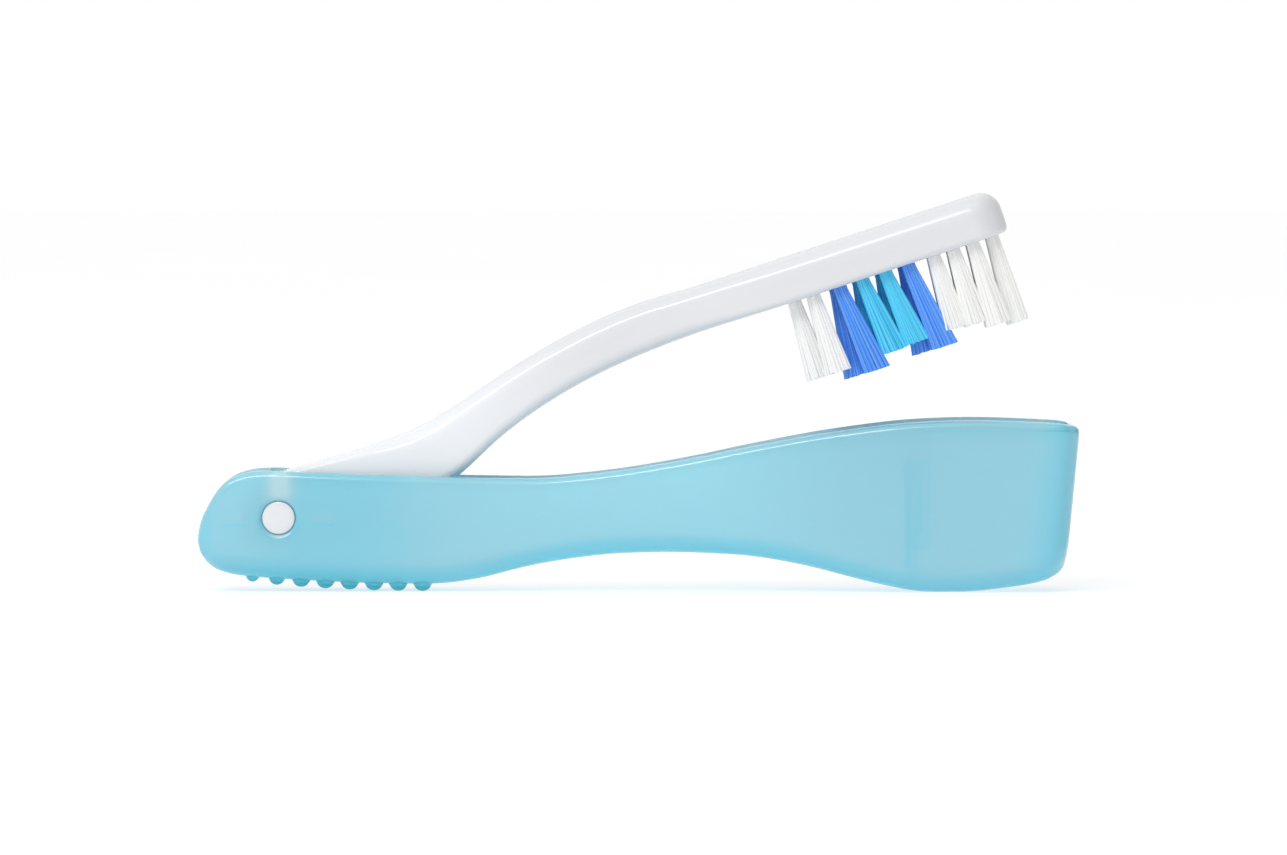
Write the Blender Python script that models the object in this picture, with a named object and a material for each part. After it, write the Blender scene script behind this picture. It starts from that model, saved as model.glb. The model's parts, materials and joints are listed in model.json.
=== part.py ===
"""A folding toothbrush that tucks, tufts down, into its own handle case.

The case is one moulded shell: a long open channel with a deep bay for the brush head at +X and an
open yoke of two cheeks at -X. The brush arm is a second moulding whose two trunnions snap into the
cheeks. Its head carries 28 tufts, and each tuft is folded round a small metal anchor in its hole.

Axes: +X along the case towards the head bay, +Y to the left, +Z up. The origin is on the ground,
under the middle of the case. Lengths in this file are in millimetres; MM turns them into metres.
"""

import math

import bmesh
import bpy
import numpy as np
from mathutils import Vector

MM = 0.001

# Driving dimensions of the case.
CASE_LENGTH = 102.9
WALL = 1.5
FLOOR = 1.3
END_WALL = 1.35
CORNER_RADIUS = 3.1
RIM_RADIUS = 0.9
END_LEAN = 1.4
END_LEAN_RUN = 10.0
END_FOOT_HEIGHT = 4.0
END_TOP_HEIGHT = 18.7
END_CORNER_RADIUS = 3.0
REST_FLAT = (33.0, 38.0)
CASE_REAR = -CASE_LENGTH / 2
CASE_FRONT_FOOT = CASE_LENGTH / 2 - END_LEAN

# Driving dimensions of the hinge. The arm is closed at 0 degrees and fully open at 180.
PIVOT = (-42.05, 8.7)
REST_ANGLE = 18.2
TRUNNION_RADIUS = 1.95
TRUNNION_CLEARANCE = 0.08
TRUNNION_REACH = 5.95
HUB_RADIUS = 4.9
HUB_HALF_WIDTH = 4.1
CHEEK_HALF_WIDTH = 5.9
CHEEK_HALF_GAP = CHEEK_HALF_WIDTH - WALL
REAR_SILL = 3.6
SILL_END = -46.0
DETENT_REACH = 5.2

# Driving dimensions of the head, in the closed arm's own axes: along it, across it and up.
HEAD_TIP = 91.5
HEAD_TOP = 10.4
HEAD_BASE = 5.1
HEAD_HALF_WIDTH = 4.5
HEAD_TIP_RADIUS = 4.0

# Driving dimensions of the tufts and of the anchors that hold them.
TUFT_RADIUS = 0.8
TUFT_TIP_RADIUS = 0.95
TUFT_PITCH = 2.35
TUFT_ROOT_DEPTH = 3.0
HOLE_CLEARANCE = 0.06
ANCHOR = (2.0, 0.25, 1.4)
ANCHOR_DEPTH = 1.2
FORWARD_LEAN = 6.5
BACKWARD_LEAN = -4.5
MIDDLE_SETBACK = 0.4

# Outline of the case, seen from the side: height of its rim, and of its underside, along X.
RIM_LINE = (
    (CASE_REAR, 7.2), (-51.1, 8.4), (-50.4, 9.9), (-49.4, 11.6), (-48.2, 12.9), (-46.7, 13.7),
    (-44.0, 14.2), (-37.0, 13.9), (-28.0, 13.6), (-18.6, 13.3), (-12.0, 13.25), (-4.6, 13.85),
    (4.8, 15.3), (14.1, 17.2), (23.5, 18.85), (32.8, 19.9), (38.5, 20.1), (47.8, 19.75),
    (49.2, 19.5), (49.8, 19.2), (CASE_FRONT_FOOT, END_TOP_HEIGHT),
)
UNDERSIDE_LINE = (
    (CASE_REAR, 5.3), (-51.1, 4.3), (-50.4, 3.4), (-49.2, 2.5), (-46.6, 1.85), (-38.4, 1.25),
    (-29.8, 0.9), (-24.0, 0.85), (-18.6, 1.5), (-13.9, 2.7), (-9.2, 3.6), (-2.2, 4.4),
    (3.6, 4.55), (11.8, 4.25), (18.8, 3.2), (25.8, 1.45), (30.0, 0.5), (REST_FLAT[0], 0.0),
    (REST_FLAT[1], 0.0), (43.0, 0.5), (46.9, 1.15), (48.9, 2.0), (49.7, 2.8),
    (CASE_FRONT_FOOT, END_FOOT_HEIGHT),
)
HALF_WIDTH_LINE = (
    (CASE_REAR, 5.1), (-51.1, 5.45), (-50.4, 5.75), (-49.0, CHEEK_HALF_WIDTH),
    (-36.0, CHEEK_HALF_WIDTH), (-26.0, 5.6),
    (-14.0, 5.15), (-4.0, 5.05), (6.0, 5.45), (15.0, 6.3),
    (24.0, 7.05), (31.0, 7.25), (CASE_LENGTH / 2, 7.25),
)

# Outline of the closed arm, seen from the side and from above, along its own length.
ARM_TOP_LINE = (
    (0.0, HUB_RADIUS), (3.0, 4.87), (7.8, 4.68), (12.7, 4.57), (17.7, 4.75), (22.9, 5.75),
    (28.3, 7.27), (33.7, 8.68), (39.0, 9.7), (44.1, 10.4), (48.5, 10.6), (55.0, HEAD_TOP),
    (92.0, HEAD_TOP),
)
ARM_BASE_LINE = (
    (0.0, -HUB_RADIUS), (2.7, -5.3), (5.5, -5.5), (8.8, -5.35), (13.7, -4.35), (21.6, -1.95),
    (27.4, 0.73), (33.0, 2.58), (38.3, 3.8), (43.4, 4.54), (48.5, 4.96), (55.0, 5.18),
    (64.0, HEAD_BASE), (92.0, HEAD_BASE),
)
ARM_HALF_WIDTH_LINE = (
    (-5.0, HUB_HALF_WIDTH), (7.0, HUB_HALF_WIDTH), (14.0, 3.3), (22.0, 2.75), (44.0, 2.65),
    (52.0, 3.1), (60.0, 4.25), (66.0, HEAD_HALF_WIDTH), (92.0, HEAD_HALF_WIDTH),
)
ARM_TOP_ROUNDING = ((-5.0, 0.8), (7.0, 0.8), (20.0, 2.3), (50.0, 2.3), (64.0, 2.0), (92.0, 2.0))
ARM_BASE_ROUNDING = ((-5.0, 0.8), (7.0, 0.8), (20.0, 2.3), (50.0, 2.2), (63.0, 0.8), (92.0, 0.8))

# The columns of tufts, from the neck to the tip: place along the head, colour and tip height.
TUFT_COLUMNS = (
    (65.1, "white", -4.3), (67.4, "white", -4.3), (70.6, "blue", -5.45), (73.4, "cyan", -4.0),
    (76.2, "cyan", -3.85), (79.0, "blue", -5.3), (82.2, "white", -3.7), (84.6, "white", -3.95),
    (87.0, "white", -4.8), (89.4, "white", -5.3),
)

# Grip bumps under the yoke.
BUMP_COLUMNS = 8
BUMP_ROWS = (-2.6, 0.0, 2.6)
BUMP_START = -45.2
BUMP_PITCH = 2.84
BUMP_RADIUS = 1.0
BUMP_HEIGHT = 0.85

COLOURS = {
    "case": ((0.34, 0.68, 0.80, 1.0), 0.32, 0.0),
    "arm": ((0.80, 0.81, 0.84, 1.0), 0.22, 0.0),
    "white": ((0.80, 0.79, 0.76, 1.0), 0.45, 0.0),
    "blue": ((0.05, 0.20, 0.80, 1.0), 0.40, 0.0),
    "cyan": ((0.04, 0.45, 0.78, 1.0), 0.40, 0.0),
    "anchor": ((0.78, 0.65, 0.38, 1.0), 0.30, 1.0),
}


def smooth_line(points):
    """A function for the smooth line through the points; it stays flat wherever they do."""
    x, y = np.array(points, dtype=float).T
    steps = np.diff(x)
    slopes = np.diff(y) / steps
    tangents = np.concatenate([slopes[:1], np.zeros(len(x) - 2), slopes[-1:]])
    for i in range(1, len(x) - 1):
        before, after = slopes[i - 1], slopes[i]
        if before * after > 0:
            weight_before = 2 * steps[i] + steps[i - 1]
            weight_after = steps[i] + 2 * steps[i - 1]
            total = weight_before + weight_after
            tangents[i] = total / (weight_before / before + weight_after / after)

    def height(at):
        at = min(max(at, x[0]), x[-1])
        i = min(int(np.searchsorted(x, at, side="right")) - 1, len(steps) - 1)
        t = (at - x[i]) / steps[i]
        rise = 3 * t**2 - 2 * t**3
        lead_in = (t**3 - 2 * t**2 + t) * steps[i] * tangents[i]
        lead_out = (t**3 - t**2) * steps[i] * tangents[i + 1]
        return float(y[i] + (y[i + 1] - y[i]) * rise + lead_in + lead_out)

    return height


def rounded_section(half_width, low, high, low_radius, high_radius, arc_steps):
    """Points (across, up) round a rectangle whose lower and upper corners have their own radii."""
    most = 0.49 * (high - low)
    low_radius = min(low_radius, most, 0.98 * half_width)
    high_radius = min(high_radius, most, 0.98 * half_width)
    right = []
    corners = ((low_radius, low + low_radius, -90), (high_radius, high - high_radius, 0))
    for radius, centre_height, start in corners:
        for step in range(arc_steps + 1):
            angle = math.radians(start + 90 * step / arc_steps)
            across = half_width - radius + radius * math.cos(angle)
            right.append((across, centre_height + radius * math.sin(angle)))
    return right + [(-across, up) for across, up in reversed(right)]


def add_loft(mesh, rings):
    """Adds the closed body that runs through rings of equally many points."""
    loops = [[mesh.verts.new(Vector(point) * MM) for point in ring] for ring in rings]
    faces = [mesh.faces.new(loops[0][::-1]), mesh.faces.new(loops[-1])]
    for first, second in zip(loops, loops[1:]):
        for i in range(len(first)):
            j = (i + 1) % len(first)
            faces.append(mesh.faces.new((first[i], first[j], second[j], second[i])))
    bmesh.ops.recalc_face_normals(mesh, faces=faces)


def prism(outline, low, high, axis):
    """Two rings: an outline in the other two axes, at two places along X, Y or Z."""
    index = "XYZ".index(axis)
    rings = []
    for place in (low, high):
        ring = []
        for point in outline:
            full = list(point)
            full.insert(index, place)
            ring.append(tuple(full))
        rings.append(ring)
    return rings


def rectangle(centre, size):
    (x, y), (half_x, half_y) = centre, (size[0] / 2, size[1] / 2)
    return [
        (x - half_x, y - half_y),
        (x + half_x, y - half_y),
        (x + half_x, y + half_y),
        (x - half_x, y + half_y),
    ]


def circle(centre, radius, sides):
    angles = [2 * math.pi * (i + 0.5) / sides for i in range(sides)]
    return [(centre[0] + radius * math.cos(a), centre[1] + radius * math.sin(a)) for a in angles]


def material(name):
    found = bpy.data.materials.get(name)
    if found:
        return found
    colour, roughness, metallic = COLOURS[name]
    made = bpy.data.materials.new(name)
    made.use_nodes = True
    shader = made.node_tree.nodes["Principled BSDF"]
    shader.inputs["Base Color"].default_value = colour
    shader.inputs["Roughness"].default_value = roughness
    shader.inputs["Metallic"].default_value = metallic
    made.diffuse_color = colour
    return made


def make_object(name, lofts, finish=None, parent=None, smooth_angle=35):
    """An object of one or more lofted bodies. Without a finish it is a hidden cutter or tool."""
    shape = bmesh.new()
    for rings in lofts:
        add_loft(shape, rings)
    mesh = bpy.data.meshes.new(name)
    shape.to_mesh(mesh)
    shape.free()
    made = bpy.data.objects.new(name, mesh)
    made.parent = parent
    if finish:
        mesh.shade_smooth()
        mesh.set_sharp_from_angle(angle=math.radians(smooth_angle))
        mesh.materials.append(material(finish))
    else:
        made.hide_render = True
        made.display_type = "WIRE"
    bpy.context.scene.collection.objects.link(made)
    return made


def combine(body, tool, operation):
    """Adds to the body, or takes from it, with a Boolean that stays on the object."""
    step = body.modifiers.new(tool.name, "BOOLEAN")
    step.operation = operation
    step.solver = "EXACT"
    step.object = tool


def end_rounding(at, end, radius):
    """How far a rounded end has drawn in at a place within one radius of it."""
    past = min(max(at - (end - radius), 0.0), radius)
    return radius - math.sqrt(radius**2 - past**2)


def leaning(at, up):
    """X of a point of the case: its cross-sections lean out towards the front wall."""
    share = min(max((at - (CASE_FRONT_FOOT - END_LEAN_RUN)) / END_LEAN_RUN, 0.0), 1.0)
    rise = (up - END_FOOT_HEIGHT) / (END_TOP_HEIGHT - END_FOOT_HEIGHT)
    return at + END_LEAN * share**2 * rise


def case_places(start, end):
    """Places of the case's cross-sections: even along it, and closer at its round ends."""
    rear = [start + step for step in (0.0, 0.2, 0.7, 1.6, 3.0)]
    middle = list(np.linspace(start + 5.0, REST_FLAT[0], 25)) + [REST_FLAT[1], 41.0, 44.0, 46.3]
    front = [end - step for step in (2.2, 1.3, 0.6, 0.2, 0.0)]
    return rear + middle + front


def case_outer():
    rim = smooth_line(RIM_LINE)
    underside = smooth_line(UNDERSIDE_LINE)
    half_width = smooth_line(HALF_WIDTH_LINE)
    rings = []
    for at in case_places(CASE_REAR, CASE_FRONT_FOOT):
        inset = end_rounding(at, CASE_FRONT_FOOT, END_CORNER_RADIUS)
        section = rounded_section(
            half_width(at) - inset, underside(at), rim(at), CORNER_RADIUS, RIM_RADIUS, 5
        )
        rings.append([(leaning(at, up), across, up) for across, up in section])
    return rings


def case_cavity():
    """The channel inside the case. It runs out through the rear, above the sill of the yoke."""
    rim = smooth_line(RIM_LINE)
    underside = smooth_line(UNDERSIDE_LINE)
    half_width = smooth_line(HALF_WIDTH_LINE)
    end = CASE_FRONT_FOOT - END_WALL
    inner_radius = CORNER_RADIUS - FLOOR
    yoke_end = -36.0
    places = [CASE_REAR - 3.0, SILL_END] + list(np.linspace(SILL_END + 2.5, 44.5, 26))
    places += [end - step for step in (2.0, 1.2, 0.5, 0.0)]
    rings = []
    for at in places:
        inset = end_rounding(at, end, END_CORNER_RADIUS - END_WALL)
        across_wall = CHEEK_HALF_GAP if at < yoke_end else half_width(at) - WALL
        foot = REAR_SILL
        if at > SILL_END:
            foot = max(underside(at) + FLOOR, REAR_SILL - 0.2 * (at - SILL_END))
        section = rounded_section(
            across_wall - inset, foot + inset, rim(0.0) + 12.0, inner_radius, 0.5, 4
        )
        rings.append([(leaning(at, up), across, up) for across, up in section])
    return rings


def pivot_bore():
    """Bore through both cheeks, dished where it meets their outer faces."""
    radius = TRUNNION_RADIUS + TRUNNION_CLEARANCE
    outer = CHEEK_HALF_WIDTH
    dish = 0.35
    rings = []
    for across, size in (
        (-outer - dish, radius + 2 * dish),
        (-outer + dish, radius),
        (outer - dish, radius),
        (outer + dish, radius + 2 * dish),
    ):
        rings.append([(x, across, z) for x, z in circle(PIVOT, size, 24)])
    return rings


def lead_in_grooves():
    """Tapered grooves down the inner faces of the cheeks, for snapping the trunnions in."""
    x, z = PIVOT
    mouth, throat, depth = 1.35, 0.85, 0.6
    outline = [(x - mouth, z + 7), (x + mouth, z + 7), (x + throat, z + 1), (x - throat, z + 1)]
    return prism(outline, -CHEEK_HALF_GAP - depth, CHEEK_HALF_GAP + depth, "Y")


def detent_pockets():
    """Shallow pockets in the cheeks' inner faces that catch the arm's nubs, shut and open."""
    depth = 0.35
    bodies = []
    for side in (-1, 1):
        outline = rectangle((PIVOT[0] + side * DETENT_REACH, PIVOT[1]), (3.2, 1.7))
        bodies.append(prism(outline, -CHEEK_HALF_GAP - depth, CHEEK_HALF_GAP + depth, "Y"))
    return bodies


def bay_ribs():
    """A tapering upright rib on each side wall of the head bay."""
    outline = [(31.0, 15.4), (33.6, 15.4), (33.6, 2.0), (32.3, 2.0)]
    inner, outer = 5.2, 6.6
    return [prism(outline, inner, outer, "Y"), prism(outline, -outer, -inner, "Y")]


def grip_bumps():
    """Rows of low round bumps on the underside of the yoke."""
    underside = smooth_line(UNDERSIDE_LINE)
    bodies = []
    for column in range(BUMP_COLUMNS):
        x = BUMP_START + column * BUMP_PITCH
        base = underside(x)
        for y in BUMP_ROWS:
            rings = [[(*point, base + 0.6) for point in circle((x, y), BUMP_RADIUS, 10)]]
            for angle in (0, 30, 55, 78):
                spread = BUMP_RADIUS * math.cos(math.radians(angle))
                drop = BUMP_HEIGHT * math.sin(math.radians(angle)) / math.sin(math.radians(78))
                rings.append([(*point, base - drop) for point in circle((x, y), spread, 10)])
            bodies.append(rings)
    return bodies


def build_case():
    case = make_object("case_shell", [case_outer()], "case")
    combine(case, make_object("bump_tool", grip_bumps()), "UNION")
    combine(case, make_object("cavity_cutter", [case_cavity()]), "DIFFERENCE")
    combine(case, make_object("rib_tool", bay_ribs()), "UNION")
    combine(case, make_object("bore_cutter", [pivot_bore()]), "DIFFERENCE")
    combine(case, make_object("groove_cutter", [lead_in_grooves()]), "DIFFERENCE")
    combine(case, make_object("pocket_cutter", detent_pockets()), "DIFFERENCE")


def arm_places():
    """Places of the arm's cross-sections: round the hub, along the stem and round the tip."""
    hub = [-HUB_RADIUS * math.cos(math.radians(angle)) for angle in (12, 25, 40, 55, 72, 90)]
    stem = list(np.linspace(3.0, HEAD_TIP - HEAD_TIP_RADIUS, 31))
    tip_angles = (25, 45, 62, 77, 90)
    tip = [HEAD_TIP - HEAD_TIP_RADIUS * (1 - math.sin(math.radians(a))) for a in tip_angles]
    return hub + stem + tip


def arm_body():
    top = smooth_line(ARM_TOP_LINE)
    base = smooth_line(ARM_BASE_LINE)
    half_width = smooth_line(ARM_HALF_WIDTH_LINE)
    top_rounding = smooth_line(ARM_TOP_ROUNDING)
    base_rounding = smooth_line(ARM_BASE_ROUNDING)
    rings = []
    for at in arm_places():
        if at < 0:
            high = math.sqrt(HUB_RADIUS**2 - at**2)
            low = -high
        else:
            high = top(at) - end_rounding(at, HEAD_TIP, top_rounding(at))
            low = base(at) + end_rounding(at, HEAD_TIP, base_rounding(at))
        across_half = half_width(at) - end_rounding(at, HEAD_TIP, HEAD_TIP_RADIUS)
        section = rounded_section(
            across_half, low, high, base_rounding(at), top_rounding(at), 4
        )
        rings.append([(at, across, up) for across, up in section])
    return rings


def trunnions():
    """One pin through the hub; its rounded ends stand in the bores of the cheeks."""
    edge = 0.3
    rings = []
    for across, size in (
        (-TRUNNION_REACH, TRUNNION_RADIUS - edge),
        (-TRUNNION_REACH + edge, TRUNNION_RADIUS),
        (TRUNNION_REACH - edge, TRUNNION_RADIUS),
        (TRUNNION_REACH, TRUNNION_RADIUS - edge),
    ):
        rings.append([(x, across, z) for x, z in circle((0, 0), size, 24)])
    return rings


def detent_nub():
    """A low pad on each face of the hub, one body from side to side."""
    proud = 0.2
    outline = rectangle((DETENT_REACH, 0.0), (2.4, 1.2))
    return prism(outline, -HUB_HALF_WIDTH - proud, HUB_HALF_WIDTH + proud, "Y")


def tuft_list():
    """Each tuft's name, colour, root (along, across), lean in degrees and tip height."""
    tufts = []
    last = len(TUFT_COLUMNS) - 1
    for column, (along, colour, tip) in enumerate(TUFT_COLUMNS):
        leaning_column = colour != "white"
        if column in (0, last):
            rows = (("right", -0.5), ("left", 0.5))
        else:
            rows = (("right", -1.0), ("middle", 0.0), ("left", 1.0))
        for row, side in rows:
            lean = 0.0
            root = along
            if leaning_column:
                lean = BACKWARD_LEAN if row == "middle" else FORWARD_LEAN
                root -= MIDDLE_SETBACK if row == "middle" else 0.0
            name = f"{column + 1:02d}_{row}"
            tufts.append((name, colour, (root, side * TUFT_PITCH), lean, tip))
    return tufts


def keyed_hole(root):
    """Outline of a tuft hole: round, with the two slits that its anchor cuts along the head."""
    radius = TUFT_RADIUS + HOLE_CLEARANCE
    slit_reach = ANCHOR[0] / 2 + HOLE_CLEARANCE
    slit_half = ANCHOR[1] / 2 + HOLE_CLEARANCE
    start = math.degrees(math.asin(slit_half / radius))
    outline = []
    for side in (0, 180):
        turn = math.radians(side)
        direction = math.cos(turn)
        outline.append((root[0] + direction * slit_reach, root[1] - direction * slit_half))
        outline.append((root[0] + direction * slit_reach, root[1] + direction * slit_half))
        for angle in np.linspace(start, 180 - start, 7):
            a = math.radians(side + float(angle))
            outline.append((root[0] + radius * math.cos(a), root[1] + radius * math.sin(a)))
    return outline


def tuft_holes():
    below = HEAD_BASE - 1.0
    deep = HEAD_BASE + TUFT_ROOT_DEPTH + HOLE_CLEARANCE
    return [prism(keyed_hole(root), below, deep, "Z") for _, _, root, _, _ in tuft_list()]


def anchor_slots():
    """Room in each tuft's fold for the anchor."""
    low = HEAD_BASE + ANCHOR_DEPTH - HOLE_CLEARANCE
    high = HEAD_BASE + ANCHOR_DEPTH + ANCHOR[2] + HOLE_CLEARANCE
    size = (ANCHOR[0] + 0.4, ANCHOR[1] + 2 * HOLE_CLEARANCE)
    return [prism(rectangle(root, size), low, high, "Z") for _, _, root, _, _ in tuft_list()]


def tuft_body(root, lean, tip):
    """A round bundle: straight in its hole, then leaning and opening a little to its tip."""
    length = HEAD_BASE - tip
    shift = length * math.tan(math.radians(lean))
    levels = (
        (HEAD_BASE + TUFT_ROOT_DEPTH, 0.0, TUFT_RADIUS),
        (HEAD_BASE, 0.0, TUFT_RADIUS),
        (tip, shift, TUFT_TIP_RADIUS),
    )
    rings = []
    for up, moved, radius in levels:
        ring = circle((root[0] + moved, root[1]), radius, 10)
        rings.append([(*point, up) for point in ring])
    return rings


def build_brush():
    hinge = bpy.data.objects.new("brush_hinge", None)
    hinge.location = (PIVOT[0] * MM, 0.0, PIVOT[1] * MM)
    hinge.rotation_euler = (0.0, -math.radians(REST_ANGLE), 0.0)
    bpy.context.scene.collection.objects.link(hinge)

    arm = make_object("brush_arm", [arm_body()], "arm", hinge)
    combine(arm, make_object("trunnion_tool", [trunnions()], parent=hinge), "UNION")
    combine(arm, make_object("nub_tool", [detent_nub()], parent=hinge), "UNION")
    combine(arm, make_object("hole_cutter", tuft_holes(), parent=hinge), "DIFFERENCE")

    slots = make_object("anchor_slot_cutter", anchor_slots(), parent=hinge)
    low = HEAD_BASE + ANCHOR_DEPTH
    for name, colour, root, lean, tip in tuft_list():
        tuft = make_object(f"tuft_{name}", [tuft_body(root, lean, tip)], colour, hinge)
        combine(tuft, slots, "DIFFERENCE")
        plate = prism(rectangle(root, ANCHOR[:2]), low, low + ANCHOR[2], "Z")
        make_object(f"anchor_{name}", [plate], "anchor", hinge)


def main():
    for old in list(bpy.data.objects):
        bpy.data.objects.remove(old)
    build_case()
    build_brush()


main()
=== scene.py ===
"""Looks of the folding toothbrush: its frosted case, glossy white arm and tufts of nylon filaments.

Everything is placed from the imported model: the hinge from its joint, the case from its box, and
each tuft from the solid that stands for it. Lengths are in millimetres, and MM turns them into the
frame's metres. The arm's own axes run along it, across it and up, from the hinge, when it is shut.
"""

import json
import math
import random

import bmesh
import bpy
import numpy as np
from mathutils import Matrix, Vector


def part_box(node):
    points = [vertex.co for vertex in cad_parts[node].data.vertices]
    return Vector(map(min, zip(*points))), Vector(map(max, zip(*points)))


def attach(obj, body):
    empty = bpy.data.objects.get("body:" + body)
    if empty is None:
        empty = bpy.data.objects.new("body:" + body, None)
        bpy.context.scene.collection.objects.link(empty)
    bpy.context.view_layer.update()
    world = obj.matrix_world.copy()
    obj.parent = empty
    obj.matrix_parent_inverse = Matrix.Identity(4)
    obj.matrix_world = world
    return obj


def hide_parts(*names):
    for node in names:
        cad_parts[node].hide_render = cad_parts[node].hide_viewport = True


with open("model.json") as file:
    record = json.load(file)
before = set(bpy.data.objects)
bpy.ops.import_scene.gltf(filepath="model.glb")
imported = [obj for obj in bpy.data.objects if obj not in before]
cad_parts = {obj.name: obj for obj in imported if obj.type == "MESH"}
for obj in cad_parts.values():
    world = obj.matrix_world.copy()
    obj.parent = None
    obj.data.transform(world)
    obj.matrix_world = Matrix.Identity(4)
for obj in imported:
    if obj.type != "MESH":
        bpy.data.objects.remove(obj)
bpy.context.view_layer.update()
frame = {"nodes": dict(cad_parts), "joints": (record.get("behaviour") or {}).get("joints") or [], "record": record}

MM = 0.001

# The frame: hinge, case ends, and how far the arm stands open at rest.
JOINT = frame["joints"][0]
PIVOT = (JOINT["pos_m"][0] / MM, JOINT["pos_m"][2] / MM)
REST_ANGLE = -JOINT["range_deg"][0]
CASE_LOW, CASE_HIGH = [[value / MM for value in corner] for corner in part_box("case_shell")]
CASE_REAR = CASE_LOW[0]
ARM_TO_ROW = (
    Matrix.Translation((PIVOT[0] * MM, 0.0, PIVOT[1] * MM))
    @ Matrix.Rotation(-math.radians(REST_ANGLE), 4, "Y")
)

# The case moulding.
WALL = 1.5
FLOOR = 1.3
END_WALL = 1.0
TIP_CLEARANCE = 0.45
CHANNEL_CORNER_RADIUS = 1.2
CHANNEL_END_RADIUS = 0.8
CORNER_RADIUS = 3.1
RIM_RADIUS = 0.9
END_LEAN = 1.4
END_LEAN_RUN = 10.0
END_FOOT_HEIGHT = 4.0
END_TOP_HEIGHT = 18.7
END_CORNER_RADIUS = 3.0
REST_FLAT = (33.0, 38.0)
CASE_FRONT_FOOT = CASE_HIGH[0] - END_LEAN
CHEEK_HALF_WIDTH = 5.9
CHEEK_HALF_GAP = CHEEK_HALF_WIDTH - WALL
REAR_SILL = 3.6
SILL_END = -46.0
SILL_SLOPE = 0.2
DETENT_REACH = 5.2
BORE_EDGE_RADIUS = 0.65
EDGE_SOFTNESS = 0.28
RIB_LEFT = 31.0
RIB_RIGHT = 33.9
RIB_TOP = 15.3
RIB_FOOT = 2.0
RIB_TAPER = 1.3
RIB_FACE = (5.15, 5.5)
RIB_BACK = 6.6
DETENT_POCKET = (2.6, 1.7)
DETENT_DEPTH = 0.35
PARTING_HEIGHT = 18.8

# The arm moulding.
TRUNNION_RADIUS = 1.88
TRUNNION_CLEARANCE = 0.02
TRUNNION_REACH = 5.95
HUB_RADIUS = 4.9
HUB_HALF_WIDTH = 4.1
HEAD_TIP = 91.5
HEAD_TOP = 10.4
HEAD_BASE = 5.1
HEAD_HALF_WIDTH = 4.5
HEAD_TIP_RADIUS = 4.0
HOLE_RADIUS = 0.86
HOLE_DEPTH = 3.06
NUB_SIZE = (2.4, 1.2)
NUB_PROUD = 0.2

# The filaments of each tuft.
FILAMENT_RADIUS = 0.095
FILAMENT_TIP_RADIUS = 0.16
FILAMENT_PITCH = 0.165
FILAMENT_BURIED = 1.2
FILAMENT_SIDES = 6
FILAMENT_LEVELS = 7
FAN_ALONG = 1.1
FAN_ACROSS = 0.55
TUFT_RADIUS = 0.8
BOW = 0.02
DRIFT = 0.03
TRIM = 0.08
ROOT_JITTER = 0.01

# Outline of the case, seen from the side and from above.
RIM_LINE = (
    (CASE_REAR, 6.7), (CASE_REAR + 0.08, 7.4), (-51.1, 8.4), (-50.4, 9.9), (-49.4, 11.6),
    (-48.2, 12.9), (-46.7, 13.7), (-44.0, 14.2), (-37.0, 13.9), (-28.0, 13.6), (-18.6, 13.3),
    (-12.0, 13.25), (-4.6, 13.85), (4.8, 15.3), (14.1, 17.2), (23.5, 18.85), (32.8, 19.9),
    (38.5, 20.1), (47.8, 19.75), (49.2, 19.5), (49.8, 19.2), (CASE_FRONT_FOOT, END_TOP_HEIGHT),
)
UNDERSIDE_LINE = (
    (CASE_REAR, 5.8), (CASE_REAR + 0.08, 5.1), (-51.1, 4.2), (-50.4, 3.3), (-49.2, 2.5),
    (-46.6, 1.85), (-38.4, 1.25), (-29.8, 0.9), (-24.0, 0.85), (-18.6, 1.5), (-13.9, 2.7),
    (-9.2, 3.6), (-2.2, 4.4), (3.6, 4.55), (11.8, 4.25), (18.8, 3.2), (25.8, 1.45), (30.0, 0.5),
    (REST_FLAT[0], 0.0), (REST_FLAT[1], 0.0), (43.0, 0.5), (46.9, 1.15), (48.9, 2.0),
    (49.7, 2.8), (CASE_FRONT_FOOT, END_FOOT_HEIGHT),
)
HALF_WIDTH_LINE = (
    (CASE_REAR, 5.1), (-51.1, 5.45), (-50.4, 5.75), (-49.0, CHEEK_HALF_WIDTH),
    (-36.0, CHEEK_HALF_WIDTH), (-26.0, 5.6), (-14.0, 5.15), (-4.0, 5.05), (6.0, 5.45),
    (15.0, 6.3), (24.0, 7.05), (31.0, 7.25), (CASE_HIGH[0], 7.25),
)

# Outline of the shut arm, in its own axes.
ARM_TOP_LINE = (
    (0.0, HUB_RADIUS), (3.0, 4.87), (7.8, 4.68), (12.7, 4.57), (17.7, 4.75), (22.9, 5.75),
    (28.3, 7.27), (33.7, 8.68), (39.0, 9.7), (44.1, 10.4), (48.5, 10.6), (55.0, HEAD_TOP),
    (92.0, HEAD_TOP),
)
ARM_BASE_LINE = (
    (0.0, -HUB_RADIUS), (2.7, -5.3), (5.5, -5.5), (8.8, -5.35), (13.7, -4.35), (21.6, -1.95),
    (27.4, 0.73), (33.0, 2.58), (38.3, 3.8), (43.4, 4.54), (48.5, 4.96), (55.0, 5.18),
    (64.0, HEAD_BASE), (92.0, HEAD_BASE),
)
ARM_HALF_WIDTH_LINE = (
    (-5.0, HUB_HALF_WIDTH), (7.0, HUB_HALF_WIDTH), (14.0, 3.3), (22.0, 2.75), (44.0, 2.65),
    (52.0, 3.1), (60.0, 4.25), (66.0, HEAD_HALF_WIDTH), (92.0, HEAD_HALF_WIDTH),
)
ARM_TOP_ROUNDING = ((-5.0, 0.8), (7.0, 0.8), (20.0, 2.3), (50.0, 2.3), (64.0, 2.4), (92.0, 2.4))
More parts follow.
